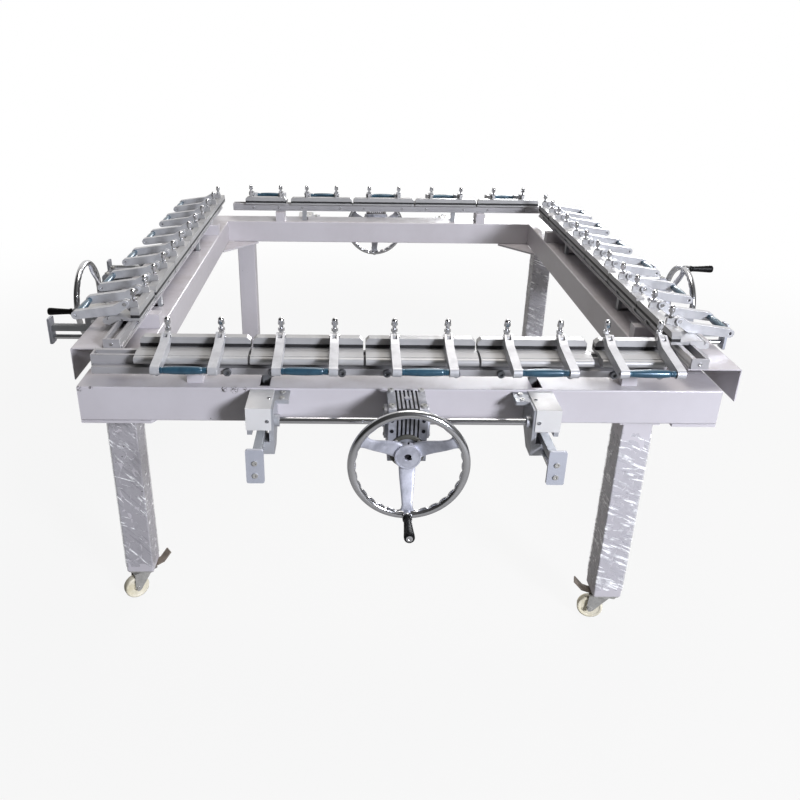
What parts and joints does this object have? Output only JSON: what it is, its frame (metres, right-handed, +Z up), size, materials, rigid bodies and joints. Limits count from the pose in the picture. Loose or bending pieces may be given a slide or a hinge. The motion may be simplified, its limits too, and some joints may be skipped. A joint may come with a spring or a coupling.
{
  "type": "screen stretching machine",
  "caption": "Free-standing table frame whose four sides each pull a row of hand clamps outward, driven by a handwheel, worm gearbox, cross shaft and racks; on swivel castors.",
  "frame": {"origin": "on the floor under the centre of the table frame", "axes": "+Z up, -Y towards the front side with its handwheel in the picture, +X to the right; +Y runs along the two long decked sides"},
  "size_m": [2.41, 2.64, 0.947],
  "materials": {
    "frame_paint": "satin warm light grey paint",
    "cover_paint": "satin light grey paint",
    "machined_steel": "machined, satin",
    "cast_aluminium": "cast, matt",
    "aluminium": "extruded, satin anodised",
    "lever_aluminium": "cast, polished; the handle is dark blue enamel",
    "chrome": "polished",
    "black_plastic": "glossy, turned",
    "zinc": "zinc plated; the pedal is grey brown enamel",
    "cream_nylon": "moulded nylon"
  },
  "bodies": {
    "frame": {"table_frame": "frame_paint", "legs": "frame_paint", "side_decks": "frame_paint", "pinion_brackets": "machined_steel", "pinion_covers": "cover_paint", "gearboxes": "cast_aluminium"},
    "carriage_front": {"rail_front": "aluminium", "jaws_front": "aluminium", "racks_front": "machined_steel"},
    "shaft_front": {"cross_shaft_front": "machined_steel"},
    "handwheel_front": {"handwheel_front": "chrome"},
    "grip_front": {"wheel_grip_front": "black_plastic"},
    "castor_fork_front": {"castor_fork_front": "zinc"},
    "castor_wheel_front": {"castor_wheel_front": "cream_nylon"},
    "clamp_front_1": {"clamp_levers_front_1": "lever_aluminium"},
    "clamp_front_2": {"clamp_levers_front_2": "lever_aluminium"},
    "clamp_front_3": {"clamp_levers_front_3": "lever_aluminium"},
    "clamp_front_4": {"clamp_levers_front_4": "lever_aluminium"},
    "clamp_front_5": {"clamp_levers_front_5": "lever_aluminium"},
    "carriage_right": {"rail_right": "aluminium", "jaws_right": "aluminium", "racks_right": "machined_steel"},
    "shaft_right": {"cross_shaft_right": "machined_steel"},
    "handwheel_right": {"handwheel_right": "chrome"},
    "grip_right": {"wheel_grip_right": "black_plastic"},
    "castor_fork_right": {"castor_fork_right": "zinc"},
    "castor_wheel_right": {"castor_wheel_right": "cream_nylon"},
    "clamp_right_1": {"clamp_levers_right_1": "lever_aluminium"},
    "clamp_right_2": {"clamp_levers_right_2": "lever_aluminium"},
    "clamp_right_3": {"clamp_levers_right_3": "lever_aluminium"},
    "clamp_right_4": {"clamp_levers_right_4": "lever_aluminium"},
    "clamp_right_5": {"clamp_levers_right_5": "lever_aluminium"},
    "clamp_right_6": {"clamp_levers_right_6": "lever_aluminium"},
    "carriage_rear": {"rail_rear": "aluminium", "jaws_rear": "aluminium", "racks_rear": "machined_steel"},
    "shaft_rear": {"cross_shaft_rear": "machined_steel"},
    "handwheel_rear": {"handwheel_rear": "chrome"},
    "grip_rear": {"wheel_grip_rear": "black_plastic"},
    "castor_fork_rear": {"castor_fork_rear": "zinc"},
    "castor_wheel_rear": {"castor_wheel_rear": "cream_nylon"},
    "clamp_rear_1": {"clamp_levers_rear_1": "lever_aluminium"},
    "clamp_rear_2": {"clamp_levers_rear_2": "lever_aluminium"},
    "clamp_rear_3": {"clamp_levers_rear_3": "lever_aluminium"},
    "clamp_rear_4": {"clamp_levers_rear_4": "lever_aluminium"},
    "clamp_rear_5": {"clamp_levers_rear_5": "lever_aluminium"},
    "carriage_left": {"rail_left": "aluminium", "jaws_left": "aluminium", "racks_left": "machined_steel"},
    "shaft_left": {"cross_shaft_left": "machined_steel"},
    "handwheel_left": {"handwheel_left": "chrome"},
    "grip_left": {"wheel_grip_left": "black_plastic"},
    "castor_fork_left": {"castor_fork_left": "zinc"},
    "castor_wheel_left": {"castor_wheel_left": "cream_nylon"},
    "clamp_left_1": {"clamp_levers_left_1": "lever_aluminium"},
    "clamp_left_2": {"clamp_levers_left_2": "lever_aluminium"},
    "clamp_left_3": {"clamp_levers_left_3": "lever_aluminium"},
    "clamp_left_4": {"clamp_levers_left_4": "lever_aluminium"},
    "clamp_left_5": {"clamp_levers_left_5": "lever_aluminium"},
    "clamp_left_6": {"clamp_levers_left_6": "lever_aluminium"}
  },
  "joints": [
    {"name": "handwheel_turn_front", "type": "hinge", "parent": "frame", "child": "handwheel_front", "pos_m": [0.008, -1.145, 0.688], "axis": [0, -1, 0], "range_deg": [0, 3819]},
    {"name": "rail_slide_front", "type": "slide", "parent": "frame", "child": "carriage_front", "axis": [0, -1, 0], "range_m": [0, 0.05]},
    {"name": "shaft_turn_front", "type": "hinge", "parent": "frame", "child": "shaft_front", "pos_m": [0, -1.082, 0.738], "axis": [1, 0, 0], "range_deg": [-127.4, 0]},
    {"name": "grip_turn_front", "type": "hinge", "parent": "handwheel_front", "child": "grip_front", "pos_m": [0.008, -1.275, 0.5535], "axis": [0, -1, 0], "continuous": true},
    {"name": "castor_swivel_front", "type": "hinge", "parent": "frame", "child": "castor_fork_front", "pos_m": [0.63, -0.935, 0.095], "axis": [0, 0, 1], "continuous": true},
    {"name": "castor_roll_front", "type": "hinge", "parent": "castor_fork_front", "child": "castor_wheel_front", "pos_m": [0.60102, -0.92724, 0.0375], "axis": [-0.2588, -0.9659, 0], "continuous": true},
    {"name": "clamp_lift_front_1", "type": "hinge", "parent": "carriage_front", "child": "clamp_front_1", "pos_m": [-0.53, -0.937, 0.903], "axis": [-1, 0, 0], "range_deg": [0, 80]},
    {"name": "clamp_lift_front_2", "type": "hinge", "parent": "carriage_front", "child": "clamp_front_2", "pos_m": [-0.24, -0.937, 0.903], "axis": [-1, 0, 0], "range_deg": [0, 80]},
    {"name": "clamp_lift_front_3", "type": "hinge", "parent": "carriage_front", "child": "clamp_front_3", "pos_m": [0.05, -0.937, 0.903], "axis": [-1, 0, 0], "range_deg": [0, 80]},
    {"name": "clamp_lift_front_4", "type": "hinge", "parent": "carriage_front", "child": "clamp_front_4", "pos_m": [0.34, -0.937, 0.903], "axis": [-1, 0, 0], "range_deg": [0, 80]},
    {"name": "clamp_lift_front_5", "type": "hinge", "parent": "carriage_front", "child": "clamp_front_5", "pos_m": [0.5985, -0.937, 0.903], "axis": [-1, 0, 0], "range_deg": [0, 80]},
    {"name": "handwheel_turn_right", "type": "hinge", "parent": "frame", "child": "handwheel_right", "pos_m": [1.03, 0.008, 0.688], "axis": [1, 0, 0], "range_deg": [0, 3819]},
    {"name": "rail_slide_right", "type": "slide", "parent": "frame", "child": "carriage_right", "axis": [1, 0, 0], "range_m": [0, 0.05]},
    {"name": "shaft_turn_right", "type": "hinge", "parent": "frame", "child": "shaft_right", "pos_m": [0.967, 0, 0.738], "axis": [0, 1, 0], "range_deg": [-127.4, 0]},
    {"name": "grip_turn_right", "type": "hinge", "parent": "handwheel_right", "child": "grip_right", "pos_m": [1.16, 0.008, 0.8225], "axis": [1, 0, 0], "continuous": true},
    {"name": "castor_swivel_right", "type": "hinge", "parent": "frame", "child": "castor_fork_right", "pos_m": [0.765, 0.825, 0.095], "axis": [0, 0, 1], "continuous": true},
    {"name": "castor_roll_right", "type": "hinge", "parent": "castor_fork_right", "child": "castor_wheel_right", "pos_m": [0.75474, 0.79681, 0.0375], "axis": [0.9397, -0.342, 0], "continuous": true},
    {"name": "clamp_lift_right_1", "type": "hinge", "parent": "carriage_right", "child": "clamp_right_1", "pos_m": [0.767, -0.719, 0.903], "axis": [0, -1, 0], "range_deg": [0, 80]},
    {"name": "clamp_lift_right_2", "type": "hinge", "parent": "carriage_right", "child": "clamp_right_2", "pos_m": [0.767, -0.429, 0.903], "axis": [0, -1, 0], "range_deg": [0, 80]},
    {"name": "clamp_lift_right_3", "type": "hinge", "parent": "carriage_right", "child": "clamp_right_3", "pos_m": [0.767, -0.139, 0.903], "axis": [0, -1, 0], "range_deg": [0, 80]},
    {"name": "clamp_lift_right_4", "type": "hinge", "parent": "carriage_right", "child": "clamp_right_4", "pos_m": [0.767, 0.151, 0.903], "axis": [0, -1, 0], "range_deg": [0, 80]},
    {"name": "clamp_lift_right_5", "type": "hinge", "parent": "carriage_right", "child": "clamp_right_5", "pos_m": [0.767, 0.441, 0.903], "axis": [0, -1, 0], "range_deg": [0, 80]},
    {"name": "clamp_lift_right_6", "type": "hinge", "parent": "carriage_right", "child": "clamp_right_6", "pos_m": [0.767, 0.6995, 0.903], "axis": [0, -1, 0], "range_deg": [0, 80]},
    {"name": "handwheel_turn_rear", "type": "hinge", "parent": "frame", "child": "handwheel_rear", "pos_m": [-0.008, 1.145, 0.688], "axis": [0, 1, 0], "range_deg": [0, 3819]},
    {"name": "rail_slide_rear", "type": "slide", "parent": "frame", "child": "carriage_rear", "axis": [0, 1, 0], "range_m": [0, 0.05]},
    {"name": "shaft_turn_rear", "type": "hinge", "parent": "frame", "child": "shaft_rear", "pos_m": [0, 1.082, 0.738], "axis": [-1, 0, 0], "range_deg": [-127.4, 0]},
    {"name": "grip_turn_rear", "type": "hinge", "parent": "handwheel_rear", "child": "grip_rear", "pos_m": [-0.008, 1.275, 0.5535], "axis": [0, 1, 0], "continuous": true},
    {"name": "castor_swivel_rear", "type": "hinge", "parent": "frame", "child": "castor_fork_rear", "pos_m": [-0.63, 0.935, 0.095], "axis": [0, 0, 1], "continuous": true},
    {"name": "castor_roll_rear", "type": "hinge", "parent": "castor_fork_rear", "child": "castor_wheel_rear", "pos_m": [-0.60402, 0.95, 0.0375], "axis": [-0.5, 0.866, 0], "continuous": true},
    {"name": "clamp_lift_rear_1", "type": "hinge", "parent": "carriage_rear", "child": "clamp_rear_1", "pos_m": [0.601, 0.937, 0.903], "axis": [1, 0, 0], "range_deg": [0, 80]},
    {"name": "clamp_lift_rear_2", "type": "hinge", "parent": "carriage_rear", "child": "clamp_rear_2", "pos_m": [0.311, 0.937, 0.903], "axis": [1, 0, 0], "range_deg": [0, 80]},
    {"name": "clamp_lift_rear_3", "type": "hinge", "parent": "carriage_rear", "child": "clamp_rear_3", "pos_m": [0.021, 0.937, 0.903], "axis": [1, 0, 0], "range_deg": [0, 80]},
    {"name": "clamp_lift_rear_4", "type": "hinge", "parent": "carriage_rear", "child": "clamp_rear_4", "pos_m": [-0.269, 0.937, 0.903], "axis": [1, 0, 0], "range_deg": [0, 80]},
    {"name": "clamp_lift_rear_5", "type": "hinge", "parent": "carriage_rear", "child": "clamp_rear_5", "pos_m": [-0.5275, 0.937, 0.903], "axis": [1, 0, 0], "range_deg": [0, 80]},
    {"name": "handwheel_turn_left", "type": "hinge", "parent": "frame", "child": "handwheel_left", "pos_m": [-1.03, -0.008, 0.688], "axis": [-1, 0, 0], "range_deg": [0, 3819]},
    {"name": "rail_slide_left", "type": "slide", "parent": "frame", "child": "carriage_left", "axis": [-1, 0, 0], "range_m": [0, 0.05]},
    {"name": "shaft_turn_left", "type": "hinge", "parent": "frame", "child": "shaft_left", "pos_m": [-0.967, 0, 0.738], "axis": [0, -1, 0], "range_deg": [-127.4, 0]},
    {"name": "grip_turn_left", "type": "hinge", "parent": "handwheel_left", "child": "grip_left", "pos_m": [-1.16, -0.1425, 0.688], "axis": [-1, 0, 0], "continuous": true},
    {"name": "castor_swivel_left", "type": "hinge", "parent": "frame", "child": "castor_fork_left", "pos_m": [-0.765, -0.825, 0.095], "axis": [0, 0, 1], "continuous": true},
    {"name": "castor_roll_left", "type": "hinge", "parent": "castor_fork_left", "child": "castor_wheel_left", "pos_m": [-0.78958, -0.84221, 0.0375], "axis": [0.5736, -0.8192, 0], "continuous": true},
    {"name": "clamp_lift_left_1", "type": "hinge", "parent": "carriage_left", "child": "clamp_left_1", "pos_m": [-0.767, 0.804, 0.903], "axis": [0, 1, 0], "range_deg": [0, 80]},
    {"name": "clamp_lift_left_2", "type": "hinge", "parent": "carriage_left", "child": "clamp_left_2", "pos_m": [-0.767, 0.514, 0.903], "axis": [0, 1, 0], "range_deg": [0, 80]},
    {"name": "clamp_lift_left_3", "type": "hinge", "parent": "carriage_left", "child": "clamp_left_3", "pos_m": [-0.767, 0.224, 0.903], "axis": [0, 1, 0], "range_deg": [0, 80]},
    {"name": "clamp_lift_left_4", "type": "hinge", "parent": "carriage_left", "child": "clamp_left_4", "pos_m": [-0.767, -0.066, 0.903], "axis": [0, 1, 0], "range_deg": [0, 80]},
    {"name": "clamp_lift_left_5", "type": "hinge", "parent": "carriage_left", "child": "clamp_left_5", "pos_m": [-0.767, -0.356, 0.903], "axis": [0, 1, 0], "range_deg": [0, 80]},
    {"name": "clamp_lift_left_6", "type": "hinge", "parent": "carriage_left", "child": "clamp_left_6", "pos_m": [-0.767, -0.6145, 0.903], "axis": [0, 1, 0], "range_deg": [0, 80]}
  ],
  "couplings": [
    {"joint": "rail_slide_front", "follows": "handwheel_turn_front", "m_per_rad": 0.00075},
    {"joint": "shaft_turn_front", "follows": "handwheel_turn_front", "ratio": -0.033333},
    {"joint": "rail_slide_right", "follows": "handwheel_turn_right", "m_per_rad": 0.00075},
    {"joint": "shaft_turn_right", "follows": "handwheel_turn_right", "ratio": -0.033333},
    {"joint": "rail_slide_rear", "follows": "handwheel_turn_rear", "m_per_rad": 0.00075},
    {"joint": "shaft_turn_rear", "follows": "handwheel_turn_rear", "ratio": -0.033333},
    {"joint": "rail_slide_left", "follows": "handwheel_turn_left", "m_per_rad": 0.00075},
    {"joint": "shaft_turn_left", "follows": "handwheel_turn_left", "ratio": -0.033333}
  ]
}
